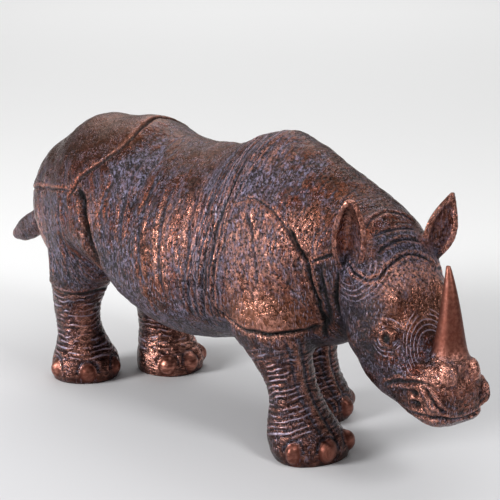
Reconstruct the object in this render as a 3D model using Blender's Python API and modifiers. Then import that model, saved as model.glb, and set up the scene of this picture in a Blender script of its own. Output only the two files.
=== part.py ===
"""Rhinoceros figurine, cast in one piece: a one-horned rhinoceros walking with its head low.

Metres, +Z up, +X towards the head, +Y to the animal's left. The free form is set out in parts:
150 parts reach from the soles to the top of the shoulder hump, so a part is a millimetre here.
"""

import math

import bmesh
import bpy
import numpy as np

# Driving sizes
SHOULDER_HEIGHT = 0.150
HORN_LENGTH = 0.0398
HORN_RADIUS = 0.0074
EAR_THICKNESS = 0.0026
NAIL_RADIUS = 0.0048
FOLD_DEPTH = 1.0
RING_DEPTH = 0.0004
RING_PITCH = 0.0058
HEAD_TURN = math.radians(16)
TRIANGLES = 9300

PART = SHOULDER_HEIGHT / 150
BODY_CELL = 1.5 * PART
SKIN_CELL = 1.0 * PART

# Where the neck starts to turn, how far it goes on turning, and the upright it turns about
TURN_START, TURN_LENGTH, TURN_PIVOT = 80, 40, 100

# Trunk and neck: x, top, widest level, bottom, half width, squareness above and below
TRUNK = (
    (-126.5, 116, 104, 91, 12, 1.8, 2.0),
    (-122, 123.5, 101, 81, 20, 1.8, 2.0),
    (-114, 129, 97, 69, 29, 1.7, 2.1),
    (-104, 135, 93, 57, 35, 1.6, 2.1),
    (-92, 142.5, 92, 55, 39.5, 1.7, 2.1),
    (-80, 146, 91, 58, 43.5, 1.8, 2.0),
    (-65, 145.5, 90, 63, 46, 1.9, 1.8),
    (-43, 147.5, 86, 59, 49, 1.8, 1.8),
    (-20, 140.5, 80, 46, 52, 1.8, 2.0),
    (5, 139.5, 77, 41.5, 53, 1.8, 2.2),
    (22, 141, 79, 42, 51, 1.8, 2.2),
    (38, 147.5, 84, 45, 48, 1.7, 2.2),
    (52, 150.5, 88, 46, 46, 1.7, 2.2),
    (66, 147, 91, 48, 43, 1.7, 2.2),
    (84, 137.5, 96, 50, 36, 1.8, 2.1),
    (100, 129, 100, 57.5, 30, 1.9, 2.0),
    (112, 122.5, 102, 69, 25, 2.0, 2.0),
    (120, 117, 102, 80, 20, 2.0, 2.0),
)

# Head: x, z, slope of its axis in degrees, dorsal reach, ventral reach, half width, squareness
HEAD = (
    (104, 104, -32, 20, 38, 26, 2.1),
    (116, 98, -45, 18, 38, 25.5, 2.0),
    (126, 88, -56, 15, 35.5, 24, 2.0),
    (134, 76, -55, 12.5, 35, 22.5, 2.1),
    (142, 65, -45, 11, 31, 21, 2.3),
    (150, 57, -25, 11.5, 20, 18.5, 2.4),
    (158, 54, -8, 13.5, 18, 17, 2.5),
    (166, 53, 0, 13, 17, 16.5, 2.5),
    (171.5, 53, 0, 9.5, 12.5, 12.5, 2.4),
    (175, 53, 0, 4, 6, 6, 2.2),
)

# Legs: level, front reach, rear reach, half width, drift forward of the line to the foot
FORELEG = (
    (-3, 17.5, 16.5, 17, 0),
    (3, 19.5, 18.5, 19, 0),
    (9, 20, 18, 19.5, 0),
    (17, 15.5, 16, 16.5, 0),
    (26, 13.5, 11.5, 13.5, 0),
    (36, 13.5, 9.5, 13, 0),
    (48, 17, 12.5, 15, -1),
    (60, 21, 20, 16, 0),
    (78, 21, 21, 15, 0),
)
HINDLEG = (
    (-3, 18, 17, 18, 0),
    (3, 20, 17, 19, 0),
    (9, 20, 16.5, 19, 0),
    (17, 15.5, 15.5, 15.5, -1.5),
    (26, 12, 14, 12.5, -4),
    (38, 10.5, 15.5, 12.5, -5),
    (50, 13, 20, 14, -2),
    (66, 19, 21.5, 16.5, 0),
    (84, 22, 19, 17, 0),
    (102, 18, 16, 12, 0),
)

# Each leg: table, middle of the sole (x, y), middle of its top (x, y), turn-out in degrees
LEGS = {
    "right_fore": (FORELEG, (86, -20), (57, -28), -2),
    "left_fore": (FORELEG, (52.5, 22), (41, 26), 10),
    "right_hind": (HINDLEG, (-80.5, -22), (-72, -27), -45),
    "left_hind": (HINDLEG, (-54.5, 18), (-72, 26), 10),
}

# Nails of each foot: how far round from straight ahead, in degrees towards the animal's left
NAILS = {
    "right_fore": (-10, -72, 48),
    "left_fore": (12, -36, 58),
    "right_hind": (-36, -98, 20),
    "left_hind": (0, -46, 55),
}

# Muscles and bones under the hide, both sides: middle, half sizes, tilt about Y in degrees
MASSES = {
    "shoulder_blade": ((57, 21, 97), (23, 20, 34), 12),
    "upper_arm": ((63, 25, 70), (24, 19, 25), -15),
    "haunch": ((-73, 24, 88), (25, 20, 38), 4),
    "knee": ((-68, 28, 70), (15, 12, 13), 15),
    "cheek": ((127, 14, 72), (14, 11, 17), 20),
    "brow": ((136, 13, 84), (7, 5, 10), 25),
    "lip": ((164, 7, 42.5), (10, 8.5, 5), 0),
}

# Smaller lumps added once the body is smooth, both sides
LUMPS = {
    "nose_wing": ((168.5, 6.3, 61.5), (6, 4.6, 6.3), 0),
    "nostril": ((169, 12.5, 51), (5, 4, 6), 0),
    "eyeball": ((144, 16.8, 73), (2.6, 2.8, 2.6), 0),
}

# Ears: root, tip and the way each cup opens, with y away from the middle, half width, how sharply
# the leaf narrows to its ends, and side
EARS = {
    "right": ((118, 21, 99), (127.5, 28, 132), (0.72, 0.69, 0.1), 7.6, 0.6, -1),
    "left": ((124, 18, 99), (129, 27, 130), (0.9, -0.35, 0.1), 7.2, 1.15, 1),
}

# Tail: x, z, slope, half depth, half width
TAIL = (
    (-112, 119, 208, 5, 7),
    (-128.5, 109.5, 236, 5.5, 6.5),
    (-135.5, 98, 255, 5, 6),
    (-139, 84, 228, 5.5, 4.5),
    (-149, 73, 205, 7.5, 4.5),
    (-162, 66, 203, 7, 4),
    (-172, 61, 200, 3, 2.5),
)

# Folds of the hide on both flanks: groove depth, groove half width, lift of the plate on the
# left of the path, reach of that lift, and the path in side view (x, z)
FOLDS = {
    "rump_plate": (1.8, 1.5, 2.0, 15, (
        (-64, 107), (-60, 112), (-56, 119), (-48, 125.5), (-40.5, 132.5), (-37.5, 140), (-41, 147), (-43, 156),
    )),
    "rump_seam": (0.8, 1.2, 0.6, 7, ((-126, 99), (-108, 105), (-90, 108), (-72, 110), (-60, 111))),
    "thigh_crevice": (3.8, 2.2, 0, 1, (
        (-59, 113), (-52, 108), (-46, 97), (-41, 86), (-37, 75), (-39, 66),
    )),
    "crevice_mouth": (2.4, 2.6, 0, 1, ((-50, 104), (-44, 93), (-39, 82), (-36, 74))),
    "thigh_hem": (2.0, 1.7, 2.2, 8, (
        (-94, 55), (-78, 51), (-66, 52), (-57, 56), (-48, 63), (-40, 66),
    )),
    "behind_shoulder": (2.0, 1.8, 0, 1, (
        (46, 156), (45, 141), (46, 126), (45, 108), (42, 86), (39, 66),
    )),
    "shoulder_edge": (1.3, 1.5, 1.2, 10, (
        (53, 156), (53, 142), (49, 128), (49, 108), (47, 86), (45, 68),
    )),
    "blade_crest": (1.0, 1.4, 1.8, 10, (
        (92, 99.5), (87.4, 105.2), (81, 112.4), (72, 119.4), (61.5, 123.6), (52.5, 120), (50, 110),
    )),
    "neck_crevice": (2.4, 1.9, 1.0, 8, ((96, 96), (91, 103), (85, 110), (78, 117))),
    "neck_fold": (2.4, 2.2, 0, 1, ((95, 99), (96, 90), (98, 80), (97, 68), (92, 58))),
    "throat_fold": (1.6, 1.8, 0, 1, ((102, 100), (103, 88), (102, 75), (97, 64))),
    "ear_fold": (1.6, 1.6, 0, 1, ((119, 106), (108, 103), (101, 101), (95, 98))),
    "jaw_fold": (1.8, 2.0, 0, 1, ((114, 98), (112, 90), (108, 82), (106, 74))),
    "elbow_hem": (1.8, 1.8, 1.4, 9, (
        (48, 70), (56, 63), (66, 60), (76, 59), (88, 60), (96, 66),
    )),
    "brow_band": (1.1, 1.3, 0.5, 6, (
        (118, 99), (122, 97), (127, 97), (132, 98), (135, 102), (137, 108),
    )),
    "ear_wrinkle": (0.9, 1.1, 0, 1, ((124, 100), (129, 101), (131, 105), (129, 111), (127, 118))),
    "crown_wrinkle": (0.8, 1.2, 0, 1, ((117, 114), (121, 118), (122, 122), (123, 127))),
    "mouth": (1.8, 1.4, 0, 1, ((150, 46), (157, 46), (166, 47), (172, 45), (178, 44))),
    "nostril_hollow": (4.6, 1.7, 0, 1, ((157.5, 53.4), (160.5, 53.8), (164.5, 52.8))),
    "lip_hollow": (4.6, 1.7, 0, 1, ((158, 49), (161.5, 49.2), (165.5, 48.4))),
    "lip_fold": (1.2, 1.4, 0.8, 5, ((146, 50), (151, 55), (158, 58), (164, 56), (169, 50))),
    "horn_seat": (1.4, 1.4, 0, 1, ((160, 67), (167, 67), (172, 68), (178, 69))),
    "nostril": (1.6, 1.5, 0, 1, ((163, 58), (167, 57), (169, 53))),
    "upper_lid": (1.0, 1.0, 0, 1, ((139, 73), (141, 77), (144, 78), (147, 76), (149, 73))),
    "lower_lid": (1.0, 1.0, 0, 1, ((139, 73), (141, 69), (145, 67), (148, 69), (149, 72))),
}


def through(keys, rows, at):
    """A smooth curve through table rows: cubic between them, with the slope of the neighbours."""
    keys, rows = np.asarray(keys, float), np.asarray(rows, float)
    slopes = np.gradient(rows, keys, axis=0)
    i = np.clip(np.searchsorted(keys, at) - 1, 0, len(keys) - 2)
    span = (keys[i + 1] - keys[i])[:, None]
    t = (np.asarray(at) - keys[i])[:, None] / span
    start, end = rows[i], rows[i + 1]
    return (
        start * (2 * t**3 - 3 * t**2 + 1)
        + end * (3 * t**2 - 2 * t**3)
        + slopes[i] * span * (t**3 - 2 * t**2 + t)
        + slopes[i + 1] * span * (t**3 - t**2)
    )


def circle(count):
    """Cosines and sines once round."""
    turn = np.arange(count) * 2 * math.pi / count
    return np.cos(turn), np.sin(turn)


def ring(across, above, below, square_above, square_below, count=44):
    """A closed oval as side and height offsets, with its own height and squareness above and below."""
    c, s = circle(count)
    square = np.where(s > 0, square_above, square_below)
    side = across * np.sign(c) * np.abs(c) ** (2 / square)
    height = np.where(s > 0, above, below) * np.sign(s) * np.abs(s) ** (2 / square)
    return side, height


def loft(name, rings):
    """A closed skin over a stack of rings, each a row of points, with both ends capped."""
    rings = np.asarray(rings)
    rows, count = rings.shape[:2]
    index = np.arange(rows * count).reshape(rows, count)
    after = np.roll(index, -1, axis=1)
    walls = np.stack([index[:-1], after[:-1], after[1:], index[1:]], axis=-1).reshape(-1, 4)
    faces = [tuple(face) for face in walls.tolist()]
    faces += [tuple(index[0][::-1].tolist()), tuple(index[-1].tolist())]
    mesh = bpy.data.meshes.new(name)
    mesh.from_pydata((rings.reshape(-1, 3) * PART).tolist(), [], faces)
    facing_out = bmesh.new()
    facing_out.from_mesh(mesh)
    bmesh.ops.recalc_face_normals(facing_out, faces=facing_out.faces)
    facing_out.to_mesh(mesh)
    facing_out.free()
    return mesh


def trunk():
    """Barrel, rump and neck: upright ovals from the tail end to the nape."""
    table = np.array(TRUNK, float)
    x = np.linspace(table[0, 0], table[-1, 0], 70)
    rings = []
    for row, place in zip(through(table[:, 0], table[:, 1:], x), x):
        top, widest, bottom, half, crown, keel = row
        side, height = ring(half, top - widest, widest - bottom, crown, keel)
        rings.append(np.stack([np.full_like(side, place), side, widest + height], axis=-1))
    return loft("trunk", rings)


def along_axis(x, z, slope, side, height):
    """A ring set square to an axis that slopes in the middle plane."""
    lean = math.radians(slope)
    return np.stack([x - height * math.sin(lean), side, z + height * math.cos(lean)], axis=-1)


def head():
    """Ovals square to an axis that bends from the nape down the face and forward to the lips."""
    table = np.array(HEAD, float)
    steps = np.linspace(0, len(table) - 1, 46)
    rings = []
    for x, z, slope, dorsal, ventral, half, square in through(np.arange(len(table)), table, steps):
        side, height = ring(half, dorsal, ventral, square, square)
        rings.append(along_axis(x, z, slope, side, height))
    return loft("head", rings)


def tail():
    """A tail from the top of the rump that hangs, swings back and ends in a flat tuft."""
    table = np.array(TAIL, float)
    steps = np.linspace(0, len(table) - 1, 24)
    c, s = circle(20)
    rings = []
    for x, z, slope, deep, half in through(np.arange(len(table)), table, steps):
        rings.append(along_axis(x, z, slope, half * c, deep * s))
    return loft("tail", rings)


def leg(table, sole, top, turn_out):
    """Level ovals from below the sole up into the body, along a line from the foot to the joint."""
    table = np.array(table, float)
    level = np.linspace(table[0, 0], table[-1, 0], 34)
    rings = []
    for (front, rear, half, drift), z in zip(through(table[:, 0], table[:, 1:], level), level):
        share = min(max(z / table[-1, 0], 0), 1) ** 1.15
        side, along = ring(half, front, rear, 2.2, 2.2)
        x = sole[0] + (top[0] - sole[0]) * share + drift
        y = sole[1] + (top[1] - sole[1]) * share
        flare = math.radians(turn_out) * max(0.0, 1 - z / 30)
        c, s = math.cos(flare), math.sin(flare)
        rings.append(
            np.stack([x + along * c - side * s, y + along * s + side * c, np.full_like(side, z)], axis=-1)
        )
    return loft("leg", rings)


def mass(middle, half_sizes, tilt, side):
    """An oval lump, tilted about Y, on one side of the body."""
    c, s = circle(28)
    lean = math.radians(tilt)
    rings = []
    for rise in np.linspace(-0.98, 0.98, 15) * math.pi / 2:
        x = half_sizes[0] * math.cos(rise) * c
        y = half_sizes[1] * math.cos(rise) * s
        z = half_sizes[2] * math.sin(rise)
        rings.append(
            np.stack(
                [
                    middle[0] + x * math.cos(lean) + z * math.sin(lean),
                    side * middle[1] + y,
                    middle[2] - x * math.sin(lean) + z * math.cos(lean),
                ],
                axis=-1,
            )
        )
    return loft("mass", rings)


def horn():
    """Round sections from a buried foot to a blunt tip, flared at the seat, with the tip bent back."""
    c, s = circle(28)
    length, radius = HORN_LENGTH / PART, HORN_RADIUS / PART
    rings = []
    for t in np.linspace(-0.22, 1, 22):
        share = max(t, 0.0)
        girth = radius * (0.92 * (1 - share) ** 0.9 + 0.13 + 0.15 * math.exp(-14 * share))
        x = 163.5 - share - 2.5 * share**3
        rings.append(np.stack([x + girth * c, girth * s, np.full_like(c, 67 + length * t)], axis=-1))
    return loft("horn", rings)


def ear(root, tip, opening, half, narrowing, side):
    """A leaf rolled into a cup: crescent sections from the stalk to a soft point."""
    root, tip, opening = (np.array(v, float) for v in (root, tip, opening))
    along = (tip - root) / np.linalg.norm(tip - root)
    opening = opening - along * opening.dot(along)
    opening = opening / np.linalg.norm(opening)
    across = np.cross(along, opening)
    wall = EAR_THICKNESS / PART
    arc = np.linspace(-1, 1, 13)
    rings = []
    for t in np.linspace(0, 1, 20):
        width = half * math.sin(math.pi * (0.14 + 0.82 * t)) ** narrowing + 0.35
        reach = math.radians(95 - 25 * t)
        radius = width / math.sin(reach)
        centre = root + (tip - root) * t
        rows = []
        for size, angles in ((radius, arc), (max(radius - wall, 0.1), arc[::-1])):
            outward = opening * (radius * 0.6 - size * np.cos(angles * reach))[:, None]
            rows.append(centre + across * (size * np.sin(angles * reach))[:, None] + outward)
        rings.append(np.concatenate(rows) * np.array([1, side, 1]))
    return loft("ear", rings)


def nail(table, sole, bearing):
    """A rounded nail that stands out of the front of the foot."""
    reach = table[2][1] - 3
    turn = math.radians(bearing)
    size = NAIL_RADIUS / PART
    middle = (sole[0] + reach * math.cos(turn), sole[1] + reach * math.sin(turn), size * 1.3)
    return mass(middle, (size, size, size * 1.1), 0, 1)


def joined(name, meshes, collection):
    """One object that holds several overlapping skins."""
    gathered = bmesh.new()
    for mesh in meshes:
        gathered.from_mesh(mesh)
    mesh = bpy.data.meshes.new(name)
    gathered.to_mesh(mesh)
    gathered.free()
    thing = bpy.data.objects.new(name, mesh)
    collection.objects.link(thing)
    return thing


def applied(thing):
    """Swaps the object's mesh for what its modifiers make of it."""
    graph = bpy.context.evaluated_depsgraph_get()
    mesh = bpy.data.meshes.new_from_object(thing.evaluated_get(graph))
    thing.modifiers.clear()
    thing.data = mesh
    return thing


def fused(thing, cell, smoothing):
    """Voxel union of the overlapping skins, then relaxed so that the joins are soft."""
    remesh = thing.modifiers.new("Union", "REMESH")
    remesh.mode = "VOXEL"
    remesh.voxel_size = cell
    relax = thing.modifiers.new("Relax", "SMOOTH")
    relax.factor = 0.5
    relax.iterations = smoothing
    return applied(thing)


def vertices(mesh):
    """Vertex positions, in parts."""
    points = np.empty(len(mesh.vertices) * 3)
    mesh.vertices.foreach_get("co", points)
    return points.reshape(-1, 3) / PART


def facing(mesh):
    """Vertex normals."""
    normals = np.empty(len(mesh.vertices) * 3)
    mesh.vertex_normals.foreach_get("vector", normals)
    return normals.reshape(-1, 3)


def smooth_step(value):
    value = np.clip(value, 0, 1)
    return value * value * (3 - 2 * value)


def beside(points, path):
    """Signed distance from a path, positive on its left, and distance from its nearer end."""
    path = np.array(path, float)
    starts, runs = path[:-1], np.diff(path, axis=0)
    lengths = np.linalg.norm(runs, axis=1)
    before = np.concatenate([[0], np.cumsum(lengths)])
    offsets = points[:, None] - starts
    share = np.clip((offsets * runs).sum(axis=2) / lengths**2, 0, 1)
    apart = np.linalg.norm(offsets - share[..., None] * runs, axis=2)
    nearest = apart.argmin(axis=1)
    rows = np.arange(len(points))
    offset, run = offsets[rows, nearest], runs[nearest]
    side = np.sign(run[:, 0] * offset[:, 1] - run[:, 1] * offset[:, 0])
    along = before[nearest] + share[rows, nearest] * lengths[nearest]
    return side * apart[rows, nearest], np.minimum(along, before[-1] - along)


def fold(points, outward, depth, width, lift, reach, path):
    """Height change of one fold: a groove along the path and a plate edge on its left."""
    change = np.zeros(len(points))
    flat = points[:, [0, 2]]
    low, high = np.min(path, axis=0) - 30, np.max(path, axis=0) + 30
    near = np.flatnonzero(((flat > low) & (flat < high)).all(axis=1))
    apart, end = beside(flat[near], path)
    fade = smooth_step((end + 1) / 7)
    groove = -depth * np.exp(-((apart / width) ** 2))
    plate = lift * np.where(apart > 0, np.exp(-np.maximum(apart, 0) / reach), 0)
    change[near] = (groove + plate) * fade * outward[near] * FOLD_DEPTH
    return change


def carved(thing):
    """Presses the folds and leg rings into the skin, along its normals."""
    points, normals = vertices(thing.data), facing(thing.data)
    outward = smooth_step((normals[:, 1] * np.sign(points[:, 1]) + 0.55) / 0.4)
    change = sum(fold(points, outward, *row) for row in FOLDS.values())
    x, z = points[:, 0], points[:, 2]
    on_leg = smooth_step((z - 12) / 4) * smooth_step((40 - z) / 6) * (x < 110) * (x > -105)
    waves = np.cos(2 * math.pi * (z + 0.12 * x) * PART / RING_PITCH)
    change = change + RING_DEPTH / PART * waves * on_leg
    store(thing.data, points + normals * change[:, None])


def turned(points):
    """The neck and head swung about the upright through the neck, more and more to the lips."""
    angle = -HEAD_TURN * smooth_step((points[:, 0] - TURN_START) / TURN_LENGTH)
    x, y = points[:, 0] - TURN_PIVOT, points[:, 1]
    swung = points.copy()
    swung[:, 0] = TURN_PIVOT + x * np.cos(angle) - y * np.sin(angle)
    swung[:, 1] = x * np.sin(angle) + y * np.cos(angle)
    return swung


def store(mesh, points):
    mesh.vertices.foreach_set("co", (points * PART).ravel())
    mesh.update()


def thinned(thing, triangles):
    """Fewer faces, kept where the form bends."""
    thin = thing.modifiers.new("Thin", "DECIMATE")
    thin.ratio = triangles / (2 * len(thing.data.polygons))
    thin.use_collapse_triangulate = True
    return applied(thing)


def centred(mesh):
    """Moves the figure so that the middle of its box is above the origin."""
    points = vertices(mesh)
    middle = (points.min(axis=0) + points.max(axis=0)) / 2
    store(mesh, points - [middle[0], middle[1], 0])


def flat_soles(mesh):
    """Cuts the feet off level at the floor."""
    cut = bmesh.new()
    cut.from_mesh(mesh)
    everything = cut.verts[:] + cut.edges[:] + cut.faces[:]
    bmesh.ops.bisect_plane(cut, geom=everything, plane_co=(0, 0, 0), plane_no=(0, 0, 1), clear_inner=True)
    rims = [edge for edge in cut.edges if edge.is_boundary]
    bmesh.ops.holes_fill(cut, edges=rims)
    bmesh.ops.triangulate(cut, faces=cut.faces[:])
    bmesh.ops.recalc_face_normals(cut, faces=cut.faces)
    cut.to_mesh(mesh)
    cut.free()


def cast_copper():
    """Dark copper paint over cast resin."""
    material = bpy.data.materials.new("copper_painted_resin")
    material.use_nodes = True
    shader = material.node_tree.nodes["Principled BSDF"]
    shader.inputs["Base Color"].default_value = (0.14, 0.052, 0.034, 1)
    shader.inputs["Metallic"].default_value = 0.85
    shader.inputs["Roughness"].default_value = 0.42
    return material


def clear_scene():
    for thing in list(bpy.data.objects):
        bpy.data.objects.remove(thing)


def main():
    clear_scene()
    collection = bpy.data.collections.new("rhinoceros_figurine")
    bpy.context.scene.collection.children.link(collection)
    bulk = [trunk(), head()] + [leg(*row) for row in LEGS.values()]
    bulk += [mass(*row, side) for row in MASSES.values() for side in (-1, 1)]
    body = fused(joined("body", bulk, collection), BODY_CELL, 24)
    fine = [body.data, horn(), tail()] + [ear(*row) for row in EARS.values()]
    fine += [mass(*row, side) for row in LUMPS.values() for side in (-1, 1)]
    fine += [nail(LEGS[foot][0], LEGS[foot][1], turn) for foot in NAILS for turn in NAILS[foot]]
    bpy.data.objects.remove(body)
    figurine = fused(joined("rhinoceros", fine, collection), SKIN_CELL, 2)
    carved(figurine)
    store(figurine.data, turned(vertices(figurine.data)))
    thinned(figurine, TRIANGLES)
    flat_soles(figurine.data)
    centred(figurine.data)
    figurine.data.materials.clear()
    figurine.data.materials.append(cast_copper())


main()
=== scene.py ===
"""Looks of the rhinoceros figurine: its carved skin in copper-painted resin, the floor, light and camera.

The skin is worked out in parts, 150 of them from the soles to the top of the shoulder hump,
with +X towards the head, +Y to the animal's left and +Z up, as the solid is.
"""

import math

import bmesh
import bpy
import numpy as np
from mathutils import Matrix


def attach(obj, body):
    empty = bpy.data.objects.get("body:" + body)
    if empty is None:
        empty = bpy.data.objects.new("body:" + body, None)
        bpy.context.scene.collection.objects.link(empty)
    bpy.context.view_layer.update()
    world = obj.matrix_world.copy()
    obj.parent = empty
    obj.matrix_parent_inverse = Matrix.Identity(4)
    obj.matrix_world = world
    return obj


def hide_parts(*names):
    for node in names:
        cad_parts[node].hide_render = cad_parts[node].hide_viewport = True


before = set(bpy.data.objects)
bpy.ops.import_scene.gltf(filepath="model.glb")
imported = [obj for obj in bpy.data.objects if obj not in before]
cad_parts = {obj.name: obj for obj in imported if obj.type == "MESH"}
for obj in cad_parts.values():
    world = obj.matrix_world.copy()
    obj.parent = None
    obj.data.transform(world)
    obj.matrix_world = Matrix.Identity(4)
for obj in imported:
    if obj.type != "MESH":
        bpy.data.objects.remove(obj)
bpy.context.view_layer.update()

# One part in metres, and the middle of the figure's box in parts, which stands over the origin
PART = 0.150 / 150
MIDDLE = (0.938, 0.055)

# Cells of the voxel unions in parts, and how many triangles the skin is thinned to
BODY_CELL, SKIN_CELL = 1.5, 0.62
SKIN_TRIANGLES = 197000
# Turn of the head to the right: where along X it starts, over what length, and the x of its pivot
HEAD_TURN = math.radians(16)
TURN_START, TURN_LENGTH, TURN_PIVOT = 80, 40, 100

# Trunk and neck: x, top, widest level, bottom, half width, squareness above and below
TRUNK = (
    (-126.5, 116, 104, 91, 12, 1.8, 2.0),
    (-122, 123.5, 101, 81, 20, 1.8, 2.0),
    (-114, 129, 97, 69, 29, 1.7, 2.1),
    (-104, 135, 93, 57, 35, 1.6, 2.1),
    (-92, 142.5, 92, 55, 39.5, 1.7, 2.1),
    (-80, 146, 91, 58, 43.5, 1.8, 2.0),
    (-65, 145.5, 90, 63, 46, 1.9, 1.8),
    (-43, 147.5, 86, 59, 49, 1.8, 1.8),
    (-20, 140.5, 80, 46, 52, 1.8, 2.0),
    (5, 139.5, 77, 41.5, 53, 1.8, 2.2),
    (22, 141, 79, 42, 51, 1.8, 2.2),
    (38, 147.5, 84, 45, 48, 1.7, 2.2),
    (52, 150.5, 88, 46, 46, 1.7, 2.2),
    (66, 147, 91, 48, 43, 1.7, 2.2),
    (84, 137.5, 96, 50, 36, 1.8, 2.1),
    (100, 129, 100, 57.5, 30, 1.9, 2.0),
    (112, 122.5, 102, 69, 25, 2.0, 2.0),
    (120, 117, 102, 80, 20, 2.0, 2.0),
)

# Head: x, z, slope of its axis in degrees, dorsal reach, ventral reach, half width, squareness
HEAD = (
    (104, 104, -32, 20, 38, 26, 2.1),
    (116, 98, -45, 18, 38, 25.5, 2.0),
    (126, 88, -56, 15, 35.5, 24, 2.0),
    (134, 76, -55, 12.5, 35, 22.5, 2.1),
    (142, 65, -45, 11, 31, 21, 2.3),
    (150, 57, -25, 11.5, 20, 18.5, 2.4),
    (158, 54, -8, 13.5, 18, 17, 2.5),
    (166, 53, 0, 13, 17, 16.5, 2.5),
    (171.5, 53, 0, 9.5, 12.5, 12.5, 2.4),
    (175, 53, 0, 4, 6, 6, 2.2),
)

# Legs: level, front reach, rear reach, half width, drift forward of the line to the foot
FORELEG = (
    (-3, 17.5, 16.5, 17, 0),
    (3, 19.5, 18.5, 19, 0),
    (9, 20, 18, 19.5, 0),
    (17, 15.5, 16, 16.5, 0),
    (26, 13.5, 11.5, 13.5, 0),
    (36, 13.5, 9.5, 13, 0),
    (48, 17, 12.5, 15, -1),
    (60, 21, 20, 16, 0),
    (78, 21, 21, 15, 0),
)
HINDLEG = (
    (-3, 18, 17, 18, 0),
    (3, 20, 17, 19, 0),
    (9, 20, 16.5, 19, 0),
    (17, 15.5, 15.5, 15.5, -1.5),
    (26, 12, 14, 12.5, -4),
    (38, 10.5, 15.5, 12.5, -5),
    (50, 13, 20, 14, -2),
    (66, 19, 21.5, 16.5, 0),
    (84, 22, 19, 17, 0),
    (102, 18, 16, 12, 0),
)

# Each leg: table, middle of the sole (x, y), middle of its top (x, y), turn-out in degrees
LEGS = {
    "right_fore": (FORELEG, (86, -20), (57, -28), -2),
    "left_fore": (FORELEG, (52.5, 22), (41, 26), 10),
    "right_hind": (HINDLEG, (-80.5, -22), (-72, -27), -45),
    "left_hind": (HINDLEG, (-54.5, 18), (-72, 26), 10),
}

# Nails of each foot: how far round from straight ahead, in degrees towards the animal's left
NAILS = {
    "right_fore": (-10, -72, 48),
    "left_fore": (12, -36, 58),
    "right_hind": (-36, -98, 20),
    "left_hind": (0, -46, 55),
}
NAIL_RADIUS = 4.8
# How the line from foot to joint bends: its share is the height's share to this power
LEG_BEND = 1.15

# Muscles and bones under the hide, both sides: middle, half sizes, tilt about Y in degrees
MASSES = {
    "shoulder_blade": ((57, 21, 97), (23, 20, 34), 12),
    "upper_arm": ((63, 25, 70), (24, 19, 25), -15),
    "haunch": ((-73, 24, 88), (25, 20, 38), 4),
    "knee": ((-68, 28, 70), (15, 12, 13), 15),
    "cheek": ((127, 14, 72), (14, 11, 17), 20),
    "brow": ((136, 13, 84), (7, 5, 10), 25),
    "lip": ((164, 7, 42.5), (10, 8.5, 5), 0),
}
LUMPS = {
    "nose_wing": ((168.5, 6.3, 61.5), (6, 4.6, 6.3), 0),
    "nostril": ((169, 12.5, 51), (5, 4, 6), 0),
    "eyeball": ((144, 16.8, 73), (2.6, 2.8, 2.6), 0),
}

# Ears: root, tip and the way each cup opens, with y away from the middle, half width, how sharply
# the leaf narrows to its ends, and side
EARS = {
    "right": ((118, 21, 99), (127.5, 28, 132), (0.72, 0.69, 0.1), 7.6, 0.6, -1),
    "left": ((124, 18, 99), (129, 27, 130), (0.9, -0.35, 0.1), 7.2, 1.15, 1),
}
EAR_THICKNESS = 2.6
# Horn, and the x and z of its seat on the nose
HORN_LENGTH, HORN_RADIUS, HORN_BEND = 39.8, 7.4, 2.5
HORN_SEAT = (163.5, 67)

# Tail: x, z, slope, half depth, half width
TAIL = (
    (-112, 119, 208, 5, 7),
    (-128.5, 109.5, 236, 5.5, 6.5),
    (-135.5, 98, 255, 5, 6),
    (-139, 84, 228, 5.5, 4.5),
    (-149, 73, 205, 7.5, 4.5),
    (-162, 66, 203, 7, 4),
    (-172, 61, 200, 3, 2.5),
)

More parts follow.
